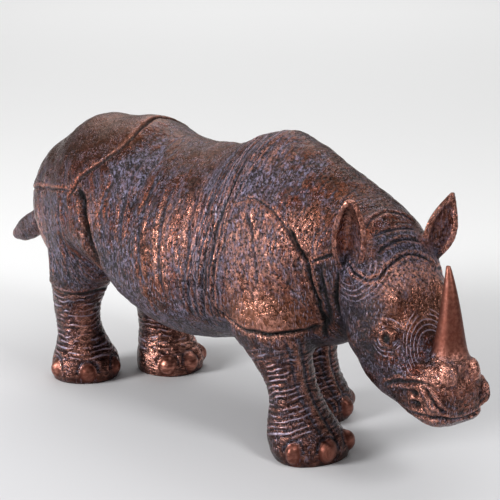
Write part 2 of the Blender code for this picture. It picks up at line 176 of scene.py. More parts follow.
# Folds of the hide on both flanks: groove depth, groove half width, lift of the plate on the
# left of the path, reach of that lift, how bright its edge is painted as rubbed copper and a painted
# highlight, and the path in side view (x, z)
FOLDS = {
    "rump_plate": (1.2, 0.7, 0.9, 15, 0.9, (
        (-64, 107), (-60, 112), (-56, 119), (-48, 125.5), (-40.5, 132.5), (-37.5, 140), (-41, 147),
        (-43, 156),
    )),
    "rump_seam": (0.6, 0.7, 0.6, 7, 0.5, ((-126, 99), (-108, 105), (-90, 108), (-72, 110), (-60, 111))),
    "thigh_crevice": (3.8, 2.0, 0, 1, 0, (
        (-59, 113), (-52, 108), (-46, 97), (-41, 86), (-37, 75), (-39, 66),
    )),
    "crevice_mouth": (3.2, 3.0, 0, 1, 0, ((-48, 100), (-43, 91), (-39, 82), (-36, 72))),
    "thigh_hem": (2.0, 1.5, 2.2, 8, 0.25, (
        (-94, 55), (-78, 51), (-66, 52), (-57, 56), (-48, 63), (-40, 66),
    )),
    "behind_shoulder": (1.0, 0.9, 0, 1, 0, (
        (46, 156), (45, 141), (46, 126), (45, 108), (42, 86), (39, 66),
    )),
    "shoulder_edge": (0.6, 0.7, 1.0, 10, 0.1, (
        (53, 156), (53, 142), (49, 128), (49, 108), (47, 86), (45, 68),
    )),
    "blade_crest": (0.5, 0.7, 1.5, 10, 0.15, (
        (92, 99.5), (87.4, 105.2), (81, 112.4), (72, 119.4), (61.5, 123.6), (52.5, 120), (50, 110),
    )),
    "neck_crevice": (1.7, 0.9, 1.0, 8, 0.1, ((96, 96), (91, 103), (85, 110), (80, 115))),
    "neck_fold": (2.0, 1.2, 0, 1, 0, ((95, 99), (96, 90), (98, 80), (97, 68), (92, 58))),
    "throat_fold": (1.6, 1.4, 0, 1, 0, ((102, 100), (103, 88), (102, 75), (97, 64))),
    "ear_fold": (1.1, 0.8, 0, 1, 0, ((119, 106), (108, 103), (101, 101), (95, 98))),
    "jaw_fold": (2.0, 1.4, 0, 1, 0, ((114, 98), (112, 90), (108, 82), (106, 74))),
    "elbow_hem": (2.0, 1.3, 1.4, 9, 0.2, (
        (44, 71), (54, 66), (66, 63.5), (77, 63), (88, 64), (96, 68),
    )),
    "nostril_hollow": (4.6, 1.5, 0, 1, 0, ((157.5, 53.0), (160.5, 53.2), (164.0, 54.2))),
    "lip_hollow": (4.6, 1.7, 0, 1, 0, ((156.5, 47.4), (160.5, 47.4), (165.5, 49.6))),
}

# Lesser folds of the head, laid on its skin: depth, half width, and a path of (x, distance from
# the middle plane, z). A path that ends past the plane runs across to the other side.
STROKES = {
    "brow_band": (0.9, 0.7, (
        (119.8, 23.9, 102.2), (124.8, 22.9, 98.1), (130, 20.4, 95.7), (133.2, 16.1, 96.8),
        (133, 12.5, 100.5), (132.9, 5.5, 104.7), (132.2, -4, 106),
    )),
    "crown_1": (0.7, 0.8, ((118.5, 13.5, 115), (116, 9, 118.5), (114.8, 3, 120.4), (114.2, -4, 120.7))),
    "crown_2": (0.5, 0.7, ((123, 12, 113), (122.8, 6.5, 114.4), (123.3, -4, 114.9))),
    "crown_3": (0.7, 0.7, ((128.2, 14, 106.5), (128, 10, 109), (127.6, 4, 110.8), (127.6, -4, 110.9))),
    "nostril_roll": (1.1, 0.8, (
        (142.3, 18.1, 51.4), (151.6, 17.7, 56.1), (155.4, 16.8, 56.4), (159, 15.9, 57.7),
        (164.1, 15.6, 58.6), (166.9, 14.2, 58.9), (170.6, 12.7, 57.5),
    )),
    "lip_diagonal": (1.3, 0.8, (
        (165, 15, 57.5), (168, 15, 55.8), (170.4, 15.1, 54), (173, 14.2, 51.0), (172.1, 9, 46.3),
    )),
    "mouth": (0.8, 0.7, (
        (150.6, 13.7, 42.6), (156.7, 14, 42.4), (164.5, 14.3, 44.6), (170.5, 9.9, 44.6), (172.4, 6, 43.3),
        (172.8, 1.9, 42.6), (172.9, -4, 42.6),
    )),
    "chin": (0.5, 0.7, ((146, 16, 42), (154, 15, 40), (162, 13, 39), (168, 9, 39))),
    "horn_seat": (0.15, 0.6, (
        (164.2, 10.2, 66.4), (167.7, 8.7, 66.8), (170.8, 5.9, 67.7), (172.4, 1.3, 67.8), (172.6, -4, 67.8),
    )),
    "nose_valley": (0.6, 2.3, ((173.5, 0, 66.5), (175, 0, 62), (175.5, 0, 57))),
}

# Long wrinkles of the flank and shoulder: depth, half width, path in side view (x, z)
WRINKLES = [
    (0.9, 1.2, ((-53, 110), (-49, 100), (-44, 95), (-36, 84), (-29, 77), (-27, 72))),
    (0.5, 1.3, ((-32, 119), (-34, 114), (-35, 110), (-34, 103), (-28, 92))),
    (0.5, 1.4, ((-23, 130), (-23, 122), (-21, 114), (-19, 105), (-15, 92))),
    (0.6, 1.4, ((-7, 125), (-5, 114), (-4, 104), (-1, 92), (3, 78))),
    (0.6, 1.3, ((7, 124), (8, 114), (11, 100), (14, 88), (18, 72))),
    (0.6, 1.3, ((27, 119), (28, 108), (31, 96), (31, 86), (30, 70))),
    (0.5, 0.9, ((60, 118), (66, 108), (70, 96), (70, 84))),
    (0.9, 1.1, ((100, 100), (101, 89), (100, 75), (96, 63))),
    (0.6, 1.2, ((-88, 100), (-86, 88), (-84, 74), (-85, 60))),
    (0.5, 1.2, ((-72, 104), (-70, 90), (-68, 76), (-70, 62))),
    (0.6, 1.2, ((-104, 100), (-101, 86), (-97, 70))),
]
# The bundle of long straight creases behind the shoulder, which cross at small angles
CREASES = np.arange(11)
CREASE_TOPS = 35 + 1.9 * CREASES + 1.6 * np.sin(2.4 * CREASES)
CREASE_FEET = 29 + 1.8 * CREASES + 2.6 * np.sin(1.7 * CREASES + 1)
WRINKLES += [
    (0.65, 0.6, ((top, 150), (top * 0.55 + foot * 0.45 + 1.5, 112), (foot, 64)))
    for top, foot in zip(CREASE_TOPS, CREASE_FEET)
]
# Middle of each eye's opening and of each ear's root, with y away from the middle plane
EYE = np.array([144.0, 18.9, 73.0])
EAR_ROOT = np.array([121.0, 22.0, 101.0])

# Bearing of the shin of each hind leg, where the copper is painted bright as a highlight, in degrees
SHINS = {"right_hind": -40, "left_hind": -14}

# Fine carving, heights and depths in parts: ribs and lines of the trunk, rings, nail beds, cord of
# the foreleg and the valleys beside it, shins, grain and swells of the whole skin, lids and sockets
RIB_HEIGHT, LINE_DEPTH = 0.55, 0.25
RING_DEPTH, LEG_RING_DEPTH = 0.15, 0.35
NAIL_BED_DEPTH, CORD_HEIGHT, VALLEY_DEPTH, SHIN_HEIGHT = 0.9, 1.1, 0.7, 0.4
GRAIN_HEIGHT, SWELL_HEIGHT = 0.1, 0.25
LID_HEIGHT, SOCKET_DEPTH = 0.8, 1.3

# The grain's coordinates: their share along the wrinkles and on the face, the lean of the wrinkles,
# the level where the lean is 0, and the level where the legs' coordinates meet the trunk's
GRAIN_ALONG, GRAIN_FACE, GRAIN_LEAN = 0.45, 0.9, 0.17
LEAN_LEVEL, LEG_LEVEL = 100.0, 60.0
NAPE = np.array([112.0, 0, 95.0])


def smooth_step(value):
    """Rises from 0 to 1 with no corner: 3 t squared minus 2 t cubed."""
    value = np.clip(value, 0, 1)
    return value * value * (3 - 2 * value)


def between(value, start, rise, end, fall):
    """1 between two ends, with a soft step at each: over rise after the start, over fall before the end."""
    return smooth_step((value - start) / rise) * smooth_step((end - value) / fall)


def bell(value, width):
    """1 at 0, falling on both sides: e to the power of minus the square of value over width."""
    return np.exp(-((value / width) ** 2))


def through(keys, rows, at):
    """A smooth curve through table rows: cubic between them, with the slope of the neighbours."""
    keys, rows = np.asarray(keys, float), np.asarray(rows, float)
    slopes = np.gradient(rows, keys, axis=0)
    i = np.clip(np.searchsorted(keys, at) - 1, 0, len(keys) - 2)
    span = (keys[i + 1] - keys[i])[:, None]
    t = (np.asarray(at) - keys[i])[:, None] / span
    start, end = rows[i], rows[i + 1]
    return (
        start * (2 * t**3 - 3 * t**2 + 1)
        + end * (3 * t**2 - 2 * t**3)
        + slopes[i] * span * (t**3 - 2 * t**2 + t)
        + slopes[i + 1] * span * (t**3 - t**2)
    )


def around(count):
    """Angles once round a ring."""
    return np.arange(count) * 2 * math.pi / count


def oval(across, above, below, square_above, square_below, angle):
    """Superellipse: cosine and sine to the power 2 over squareness, with its own height up and down."""
    c, s = np.cos(angle), np.sin(angle)
    square = np.where(s > 0, square_above, square_below)
    side = across * np.sign(c) * np.abs(c) ** (2 / square)
    return side, np.where(s > 0, above, below) * np.sign(s) * np.abs(s) ** (2 / square)


def trunk():
    """Upright ovals: x along the first parameter, angle round the body along the second."""
    table = np.array(TRUNK, float)
    x = np.linspace(table[0, 0], table[-1, 0], 140)
    top, widest, bottom, half, crown, keel = through(table[:, 0], table[:, 1:], x).T[..., None]
    side, height = oval(half, top - widest, widest - bottom, crown, keel, around(88))
    return np.stack(np.broadcast_arrays(x[:, None], side, widest + height), axis=-1)


def along_axis(x, z, slope, side, height):
    """Rings square to an axis that slopes in the middle plane: height goes up and back from it."""
    lean = np.radians(slope)
    rings = (x - height * np.sin(lean), side, z + height * np.cos(lean))
    return np.stack(np.broadcast_arrays(*rings), axis=-1)


def head():
    """Ovals square to an axis that bends from the nape down the face and forward to the lips."""
    table = np.array(HEAD, float)
    steps = np.linspace(0, len(table) - 1, 92)
    rows = through(np.arange(len(table)), table, steps)
    x, z, slope, dorsal, ventral, half, square = rows.T[..., None]
    side, height = oval(half, dorsal, ventral, square, square, around(88))
    return along_axis(x, z, slope, side, height)


def tail():
    """Ovals along the tail's axis, from the rump down and back to a flat tuft."""
    table = np.array(TAIL, float)
    steps = np.linspace(0, len(table) - 1, 60)
    x, z, slope, deep, half = through(np.arange(len(table)), table, steps).T[..., None]
    angle = around(40)
    return along_axis(x, z, slope, half * np.cos(angle), deep * np.sin(angle))


def leg_line(table, sole, top, z):
    """The x and y of a leg's line at each level: from sole to joint by a power of the height's share."""
    share = np.clip(z / table[-1][0], 0, 1) ** LEG_BEND
    return sole[0] + (top[0] - sole[0]) * share, sole[1] + (top[1] - sole[1]) * share


def leg(table, sole, top, turn_out):
    """Level ovals, moved along the line from the foot to the joint and turned out near the floor."""
    table = np.array(table, float)
    z = np.linspace(table[0, 0], table[-1, 0], 90)[:, None]
    front, rear, half, drift = through(table[:, 0], table[:, 1:], z[:, 0]).T[..., None]
    x, y = leg_line(table, sole, top, z)
    side, along = oval(half, front, rear, 2.2, 2.2, around(72))
    flare = math.radians(turn_out) * np.maximum(0, 1 - z / 30)
    x = x + drift + along * np.cos(flare) - side * np.sin(flare)
    y = y + along * np.sin(flare) + side * np.cos(flare)
    return np.stack(np.broadcast_arrays(x, y, z), axis=-1)


def mass(middle, half_sizes, tilt, side):
    """An ellipsoid, by latitude and longitude, tilted about Y, on one side of the body."""
    rise = (np.linspace(-0.98, 0.98, 24) * math.pi / 2)[:, None]
    lean, angle = math.radians(tilt), around(40)
    x = half_sizes[0] * np.cos(rise) * np.cos(angle)
    y = half_sizes[1] * np.cos(rise) * np.sin(angle)
    z = half_sizes[2] * np.sin(rise)
    x, z = x * math.cos(lean) + z * math.sin(lean), z * math.cos(lean) - x * math.sin(lean)
    return np.stack([middle[0] + x, side * middle[1] + y, middle[2] + z], axis=-1)


def horn():
    """Round sections up a line whose tip bends back: a blunt cone, flared at its seat."""
    t = np.linspace(-0.22, 1, 70)[:, None]
    share = np.maximum(t, 0)
    girth = HORN_RADIUS * (0.92 * (1 - share) ** 0.9 + 0.13 + 0.15 * np.exp(-14 * share))
    angle = around(60)
    seat_x, seat_z = HORN_SEAT
    x = seat_x - share - HORN_BEND * share**3 + girth * np.cos(angle)
    return np.stack(np.broadcast_arrays(x, girth * np.sin(angle), seat_z + HORN_LENGTH * t), axis=-1)


def ear_axes(root, tip, opening):
    """Along the ear, the way its cup opens and across it: three directions square to each other."""
    root, tip, opening = (np.array(v, float) for v in (root, tip, opening))
    along = (tip - root) / np.linalg.norm(tip - root)
    opening = opening - along * opening.dot(along)
    opening = opening / np.linalg.norm(opening)
    return along, opening, np.cross(along, opening)


def ear(root, tip, opening, half, narrowing, side):
    """A leaf rolled into a cup: outer and inner arcs, wide in the middle, narrowing to a soft point."""
    _, opening, across = ear_axes(root, tip, opening)
    t = np.linspace(0, 1, 60)[:, None]
    arc = np.linspace(-1, 1, 27)
    width = half * np.sin(math.pi * (0.14 + 0.82 * t)) ** narrowing + 0.35
    reach = np.radians(95 - 25 * t)
    radius = width / np.sin(reach)
    inner = np.maximum(radius - EAR_THICKNESS, 0.1)
    outer_turn, inner_turn = arc * reach, arc[::-1] * reach
    sideways = np.concatenate([radius * np.sin(outer_turn), inner * np.sin(inner_turn)], axis=1)
    inward = np.concatenate([radius * np.cos(outer_turn), inner * np.cos(inner_turn)], axis=1)
    line = np.array(root, float) + (np.array(tip, float) - root) * t
    rings = line[:, None] + across * sideways[..., None] + opening * (radius * 0.6 - inward)[..., None]
    return rings * np.array([1, side, 1])


def nail_middle(table, sole, bearing):
    """Where a nail sits: a little inside the front reach of the foot, at its bearing."""
    reach, turn = table[2][1] - 3, math.radians(bearing)
    return sole[0] + reach * math.cos(turn), sole[1] + reach * math.sin(turn), NAIL_RADIUS * 1.3


def gathered(name, surfaces):
    """One mesh of several closed skins: each grid gets quads between its rings and a cap at each end."""
    points, faces, start = [], [], 0
    for rings in surfaces:
        rows, count = rings.shape[:2]
        index = start + np.arange(rows * count).reshape(rows, count)
        after = np.roll(index, -1, axis=1)
        walls = np.stack([index[:-1], after[:-1], after[1:], index[1:]], axis=-1)
        faces += walls.reshape(-1, 4).tolist() + [index[0][::-1].tolist(), index[-1].tolist()]
        points.append(rings.reshape(-1, 3))
        start += rows * count
    mesh = bpy.data.meshes.new(name)
    mesh.from_pydata(np.concatenate(points).tolist(), [], faces)
    thing = bpy.data.objects.new(name, mesh)
    bpy.context.scene.collection.objects.link(thing)
    return thing


def add_mesh(thing, mesh):
    """Joins a finished mesh into the object's own."""
    both = bmesh.new()
    both.from_mesh(thing.data)
    both.from_mesh(mesh)
    both.to_mesh(thing.data)
    both.free()


def applied(thing):
    """Swaps the object's mesh for what its modifiers make of it."""
    graph = bpy.context.evaluated_depsgraph_get()
    mesh = bpy.data.meshes.new_from_object(thing.evaluated_get(graph))
    thing.modifiers.clear()
    thing.data = mesh
    return thing


def fused(thing, cell, smoothing, levels=0):
    """Voxel union of the overlapping skins, relaxed so that the joins are soft, then subdivided."""
    remesh = thing.modifiers.new("Union", "REMESH")
    remesh.mode = "VOXEL"
    remesh.voxel_size = cell
    remesh.use_smooth_shade = True
    relax = thing.modifiers.new("Relax", "SMOOTH")
    relax.factor = 0.5
    relax.iterations = smoothing
    if levels:
        finer = thing.modifiers.new("Finer", "SUBSURF")
        finer.levels = finer.render_levels = levels
    return applied(thing)


def read(mesh):
    """Vertex positions and normals as arrays."""
    points = np.empty(len(mesh.vertices) * 3)
    normals = np.empty(len(mesh.vertices) * 3)
    mesh.vertices.foreach_get("co", points)
    mesh.vertex_normals.foreach_get("vector", normals)
    return points.reshape(-1, 3), normals.reshape(-1, 3)


def store(mesh, points):
    """Moves the vertices to the given places."""
    mesh.vertices.foreach_set("co", np.ascontiguousarray(points, np.float32).ravel())
    mesh.update()


def paint(mesh, name, values):
    """A named value or vector on each vertex, for the materials to read."""
    kind, key = ("FLOAT", "value") if values.ndim == 1 else ("FLOAT_VECTOR", "vector")
    attribute = mesh.attributes.new(name, kind, "POINT")
    attribute.data.foreach_set(key, np.ascontiguousarray(values, np.float32).ravel())


def lattice(ix, iy, iz, seed):
    """A fixed number from 0 to 1 for each whole-numbered point, by integer mixing."""
    mixed = ix * 374761393 + iy * 668265263 + iz * 2147483647 + seed * 974711
    mixed = (mixed & 0xFFFFFFFF).astype(np.uint64)
    mixed = ((mixed ^ (mixed >> np.uint64(13))) * np.uint64(1274126177)) & np.uint64(0xFFFFFFFF)
    return ((mixed ^ (mixed >> np.uint64(16))) & np.uint64(0xFFFFFF)).astype(float) / 0xFFFFFF


def noise(at, seed=0):
    """Smooth noise from -1 to 1: lattice values blended by a smooth step along each axis."""
    base = np.floor(at).astype(np.int64)
    f = smooth_step(at - base)
    total = 0
    for corner in range(8):
        d = np.array([corner & 1, corner >> 1 & 1, corner >> 2])
        weight = np.where(d, f, 1 - f).prod(axis=1)
        total = total + weight * lattice(*(base + d).T, seed)
    return total * 2 - 1


def layered(at, layers, seed=0):
    """Noise with finer noise on it, each layer half as high and twice as fine."""
    return sum(noise(at * 2**i, seed + 7 * i) / 2**i for i in range(layers))


def beside(points, path):
    """Signed distance from a path, positive on its left in side view, and from its nearer end."""
    path = np.array(path, float)
    starts, runs = path[:-1], np.diff(path, axis=0)
    lengths = np.linalg.norm(runs, axis=1)
    before = np.concatenate([[0], np.cumsum(lengths)])
    offsets = points[:, None] - starts
    share = np.clip((offsets * runs).sum(axis=2) / lengths**2, 0, 1)
    apart = np.linalg.norm(offsets - share[..., None] * runs, axis=2)
    nearest = apart.argmin(axis=1)
    rows = np.arange(len(points))
    offset, run = offsets[rows, nearest], runs[nearest]
    side = np.where(run[:, 0] * offset[:, -1] < run[:, -1] * offset[:, 0], -1, 1)
    along = before[nearest] + share[rows, nearest] * lengths[nearest]
    return side * apart[rows, nearest], np.minimum(along, before[-1] - along)


def one_sided(points):
    """The points with y counted away from the middle plane, so that both sides are alike."""
    return np.stack([points[:, 0], np.abs(points[:, 1]), points[:, 2]], axis=1)


def near_path(flat, path, margin):
    """The vertices inside a path's box, widened by a margin."""
    low, high = np.min(path, axis=0) - margin, np.max(path, axis=0) + margin
    return np.flatnonzero(((flat > low) & (flat < high)).all(axis=1))


def folds(points, outward):
    """Main folds: a bell-shaped groove along each path and a plate edge that fades on its left.

    Gives the change of height, how deep each place is cut, which is painted dark as dark wash and shade,
    and how bright a plate's edge is painted, as rubbed copper and a painted highlight.
    """
    flat = points[:, [0, 2]]
    change, depth_cut, rim = np.zeros((3, len(points)))
    wander = 0.7 * noise(points / 9, 3)
    for depth, width, lift, reach, rubbed_and_highlight, path in FOLDS.values():
        near = near_path(flat, path, 40)
        apart, end = beside(flat[near], path)
        apart = apart + wander[near]
        fade = smooth_step((end + 1) / 7) * outward[near]
        groove = bell(apart, width) * fade
        plate = np.where(apart > 0, np.exp(-np.maximum(apart, 0) / reach), 0) * fade
        change[near] += lift * plate - depth * groove
        # How dark the groove is painted: dark wash and painted shade
        depth_cut[near] = np.maximum(depth_cut[near], groove * min(depth / 1.6, 1.6))
        # Rubbed copper and a painted highlight along a raised plate's edge, fading out above 128 parts
        edge = bell(apart - 1.5 * width, 0.55) * fade * smooth_step((128 - flat[near, 1]) / 14)
        rim[near] = np.maximum(rim[near], edge * rubbed_and_highlight)
    return change, depth_cut, rim


def laid_on(points, path):
    """A path with a point each part, each moved to the nearest vertex and then evened out twice."""
    path = np.array(path, float)
    lengths = np.concatenate([[0], np.cumsum(np.linalg.norm(np.diff(path, axis=0), axis=1))])
    steps = np.linspace(0, lengths[-1], int(lengths[-1]) + 2)
    fine = np.stack([np.interp(steps, lengths, column) for column in path.T], axis=1)
    near = points[near_path(points, path, 6)]
    across = fine[:, 1] < 0
    apart = np.linalg.norm(near - np.abs(fine)[:, None], axis=2)
    laid = near[apart.argmin(axis=1)]
    laid[across, 1] = -laid[across, 1]
    for _ in range(2):
        laid[1:-1] = laid[1:-1] / 2 + (laid[:-2] + laid[2:]) / 4
    return laid


def strokes(points, outward):
    """Lesser folds: bell-shaped grooves along paths, each with a low roll on both of its sides.

    Gives the change of height, how deep each place is cut, which is painted dark as dark wash and shade,
    and where the patina marks a line.
    """
    change, cut, lines = np.zeros((3, len(points)))
    wander = 0.4 * noise(points / 5, 5)
    mirrored = one_sided(points)
    rows = [(depth, width, laid_on(mirrored, path), mirrored, 1) for depth, width, path in STROKES.values()]
    rows += [(depth, width, path, points[:, [0, 2]], 0) for depth, width, path in WRINKLES]
    for depth, width, path, where, on_head in rows:
        near = near_path(where, path, 9)
        apart, end = beside(where[near], path)
        apart = np.abs(apart) + wander[near]
        fade = smooth_step((end + 1.5) / 5)
        fade = fade if on_head else fade * outward[near]
        groove = bell(apart, width) * fade
        roll = bell(apart - 2.2 * width, 1.2 * width) * fade
        change[near] += depth * (0.4 * roll - groove)
        # How dark the groove is painted: dark wash and painted shade
        cut[near] = np.maximum(cut[near], groove * min(depth, 1.2) * (0.5 if on_head else 0.25))
        lines[near] = np.maximum(lines[near], roll * 0.8 * on_head + groove * 0.5 * (1 - on_head))
    return change, cut, lines


def regions(points):
    """How far each vertex belongs to legs, head, horn, ears, cups, tail and nails, from 0 to 1."""
    x, y, z = points.T
    belly = between(x, -52, 6, 34, 6) * smooth_step((z - 32) / 8)
    legs = smooth_step((60 - z) / 12) * (1 - belly) * smooth_step((107 - x) / 4)
    face = smooth_step((x - 104 - 0.42 * (z - 75)) / 5) * smooth_step((z - 30) / 4)
    share = np.clip((z - HORN_SEAT[1]) / HORN_LENGTH, 0, 1)
    from_horn = np.hypot(x - HORN_SEAT[0] + share + HORN_BEND * share**3, y)
    on_horn = smooth_step((12.5 - from_horn) / 1.5) * smooth_step((z - HORN_SEAT[1] - 1) / 3) * (x > 148)
    ears, cups = np.zeros((2, len(points)))
    for root, tip, opening, half, _, side in EARS.values():
        along, opening, across = ear_axes(root, tip, opening)
        local = points * [1, side, 1] - root
        t = local @ along / np.linalg.norm(np.subtract(tip, root))
        apart = np.linalg.norm(local - np.outer(local @ along, along), axis=1)
        here = smooth_step((t - 0.12) / 0.12) * smooth_step((half + 5 - apart) / 2) * (y * side > 0)
        ears = np.maximum(ears, here)
        inside = (local @ opening > -half * 0.62) & (np.abs(local @ across) < half * 0.8)
        cups = np.maximum(cups, here * inside)
    tails = smooth_step((-124 - x) / 4) * smooth_step((112 - z) / 6)
    nails, arch = np.zeros((2, len(points)))
    for foot, bearings in NAILS.items():
        for bearing in bearings:
            offset = points - nail_middle(*LEGS[foot][:2], bearing)
            apart = np.linalg.norm(offset / [1, 1, 1.1], axis=1)
            nails = np.maximum(nails, smooth_step((NAIL_RADIUS + 0.9 - apart) / 0.7))
            above = smooth_step((offset[:, 2] + 1) / 2)
            arch = np.maximum(arch, bell(apart - NAIL_RADIUS - 1.7, 0.9) * above)
    return legs, face, on_horn, ears, cups, tails, nails, arch


def bearing_on(points, foot):
    """Angle round one leg's slanting axis, its distance from the axis, and its share of this leg."""
    table, sole, top, _ = LEGS[foot]
    line_x, line_y = leg_line(table, sole, top, points[:, 2])
    offset_x, offset_y = points[:, 0] - line_x, points[:, 1] - line_y
    reach = np.hypot(offset_x, offset_y)
    return np.arctan2(offset_y, offset_x), reach, smooth_step((27 - reach) / 4)


def grain_coordinates(points, legs, face):
    """Coordinates that run twice as fast across the wrinkles as along them.

    On the trunk the wrinkles go round the body, on the legs they are level, on the face they
    have no direction. Each leg's and the face's coordinates meet the trunk's where they join.
    """
    x, y, z = points.T
    lean = GRAIN_LEAN + 0.35 * smooth_step((-10 - x) / 35)
    across = x + lean * (z - LEAN_LEVEL)
    body = np.stack([across, y * GRAIN_ALONG, z * GRAIN_ALONG], axis=1)
    joint_x = np.where(x > -20, np.where(y < 0, 66.0, 45.0), -74.0)
    joint_y = np.where(y < 0, -25.0, 25.0)
    leaning = GRAIN_LEAN * (LEG_LEVEL - LEAN_LEVEL)
    joint = (joint_x + leaning, joint_y * GRAIN_ALONG, LEG_LEVEL * GRAIN_ALONG)
    from_joint = ((x - joint_x) * GRAIN_ALONG, (y - joint_y) * GRAIN_ALONG, z - LEG_LEVEL)
    level = np.stack([start + step for start, step in zip(joint, from_joint)], axis=1)
    plain = NAPE * [1, GRAIN_ALONG, GRAIN_ALONG] + (points - NAPE) * GRAIN_FACE
    grain = body + (level - body) * legs[:, None]
    return grain + (plain - grain) * face[:, None], across


def ring_lines(points, normals, legs, face, drift):
    """Thin lines round the eyes, ear roots, horn seat and legs: a count that is whole on each line.

    Each place counts by its own distance, over the gap between its lines: from the eye, the ear root
    or the horn, or up the leg. With the count comes how strong the lines are, 0 between the places.
    """
    x, y, z = points.T
    eye = np.linalg.norm(one_sided(points) - EYE, axis=1)
    root = np.linalg.norm(one_sided(points) - EAR_ROOT, axis=1)
    seat = np.linalg.norm((points - [HORN_SEAT[0], 0, HORN_SEAT[1]]) * [1, 1.5, 1], axis=1)
    slant = np.where(x > 0, 0.32, 0.05)
    wider_below = 1 + 0.12 * smooth_step((EYE[2] - z) / 6)
    counts = np.stack([
        (eye * wider_below + 0.5 * drift + 0.5 * noise(points / 3, 53)) / 2.2,
        (root + 0.4 * drift) / 2.3,
        (seat + 0.3 * drift) / 2.15,
        (z - slant * x + 1.3 * drift + 0.7 * noise(points / 4, 52)) / 2.9,
    ])
    patchy = smooth_step((noise(points / [4, 4, 2.2], 51) + 0.3) / 0.35)
    broken = smooth_step((noise(points / 3.2, 57) + 0.1) / 0.35)
    on_bridge = smooth_step((158 - x) / 3) * smooth_step((normals[:, 2] - 0.1) / 0.2)
    parted = smooth_step((seat - 22.5) / 1.5) * smooth_step((5 - np.abs(y)) / 2)
    at_root = smooth_step((x - 113) / 5) * smooth_step((107 - z) / 5) * (0.5 + 0.5 * patchy)
    strengths = np.stack([
        between(eye, 1.5, 0.5, 10, 1.5) * broken * face,
        between(root, 7.5, 1.5, 20, 4) * at_root * face,
        between(seat, 14.3, 1, 28, 3) * on_bridge * (1 - parted),
        between(z, 11, 3, 60, 8) * legs * patchy,
    ])
    best = strengths.argmax(axis=0)
    rows = np.arange(len(points))
    return counts[best, rows], strengths[best, rows]


def shins_and_tendons(points):
    """The raised cord down each foreleg with the side beyond it, which is painted in shade, and the hind
    shins, which carry a painted highlight.
    """
    cord, shin, valley, beyond = np.zeros((4, len(points)))
    z = points[:, 2]
    for foot in ("right_fore", "left_fore"):
        angle, reach, here = bearing_on(points, foot)
        bend = np.radians(-22 + 24 * (1 - z / 62) + 4 * np.sin(z / 7))
        apart = (angle - bend) * reach
        up = between(z, 8, 5, 62, 6)
        cord = np.maximum(cord, bell(apart, 1.8) * here * up)
        valley = np.maximum(valley, bell(np.abs(apart) - 3.4, 1.0) * here * up)
        # Beyond the cord: the side of each foreleg that is painted in shade
        beyond = np.maximum(beyond, smooth_step((apart - 2) / 2) * (apart < 40) * here * up)
    for foot, bearing in SHINS.items():
        angle, reach, here = bearing_on(points, foot)
        apart = (angle - math.radians(bearing)) * reach
        # The hind shins carry a painted highlight and stand a little proud
        shin = np.maximum(shin, bell(apart, 4.5) * here * between(z, 12, 4, 48, 10))
    return cord, shin, valley, beyond


def texture(points, normals, zones, across, counts, ringed):
    """Carving that the mesh can hold: ribs, long wrinkles, rings, nail beds, cords and eye sockets."""
    legs, face, on_horn, ears, _, tails, nails, arch = zones
    x, y, z = points.T
    bare = (1 - on_horn) * (1 - ears) * (1 - nails)
    trunk_zone = (1 - legs) * (1 - face) * (1 - tails) * bare
    smooth_top = smooth_step((normals[:, 2] - 0.45) / 0.35) * smooth_step((-30 - x) / 12)
    ribs = layered(np.stack([across / 7, y / 40, z / 40], axis=1), 2, 21) * trunk_zone
    lines = noise(np.stack([across / 2.6, y / 13, z / 13], axis=1), 31)
    lines = bell(lines, 0.2) * smooth_step((noise(points / 9, 33) + 0.3) / 0.6) * trunk_zone
    cord, shin, valley, beyond = shins_and_tendons(points)
    rings = bell(np.sin(math.pi * (counts + 0.5)), 0.6) * ringed * bare * (1 - cord)

    height = (RIB_HEIGHT * ribs - LINE_DEPTH * lines) * (1 - smooth_top)
    height = height - (RING_DEPTH + LEG_RING_DEPTH * legs) * rings
    height = height - NAIL_BED_DEPTH * arch * (1 - nails)
    height = height + CORD_HEIGHT * cord - VALLEY_DEPTH * valley + SHIN_HEIGHT * shin
    grit = GRAIN_HEIGHT * layered(points / 2.4, 2, 81) + SWELL_HEIGHT * noise(points / 4.5, 83)
    eye = np.linalg.norm((one_sided(points) - EYE) * [0.9, 0.6, 1], axis=1)
    socket = np.exp(-((eye / 1.9) ** 4)) * face
    upper = 0.1 + 0.9 * smooth_step((z - EYE[2] - 0.5) / 2)
    lid = bell(eye - 3.1, 0.8) * face * upper
    height = height + grit * bare + LID_HEIGHT * lid - SOCKET_DEPTH * socket
    grooves = np.maximum(0.5 * lines, 0.8 * valley)
    return height, grooves, socket, smooth_top, cord, shin, beyond


def bent(mesh, points, normals):
    """How far each vertex stands out from its neighbours' middle, in parts: above 0 on ridges."""
    edges = np.empty(len(mesh.edges) * 2, np.int32)
    mesh.edges.foreach_get("vertices", edges)
    edges = edges.reshape(-1, 2)
    ends = np.concatenate([edges, edges[:, ::-1]])
    count = np.bincount(ends[:, 0], minlength=len(points))[:, None]

    def mean(values):
        """The average over each vertex's neighbours."""
        columns = [np.bincount(ends[:, 0], column[ends[:, 1]], len(points)) for column in values.T]
        return np.stack(columns, axis=1) / count

    return ((points - mean(mean(points))) * normals).sum(axis=1)


def turned(points):
    """The neck and head swung about the upright through the neck, more and more to the lips."""
    angle = -HEAD_TURN * smooth_step((points[:, 0] - TURN_START) / TURN_LENGTH)
    x, y = points[:, 0] - TURN_PIVOT, points[:, 1]
    swung = points.copy()
    swung[:, 0] = TURN_PIVOT + x * np.cos(angle) - y * np.sin(angle)
    swung[:, 1] = x * np.sin(angle) + y * np.cos(angle)
    return swung
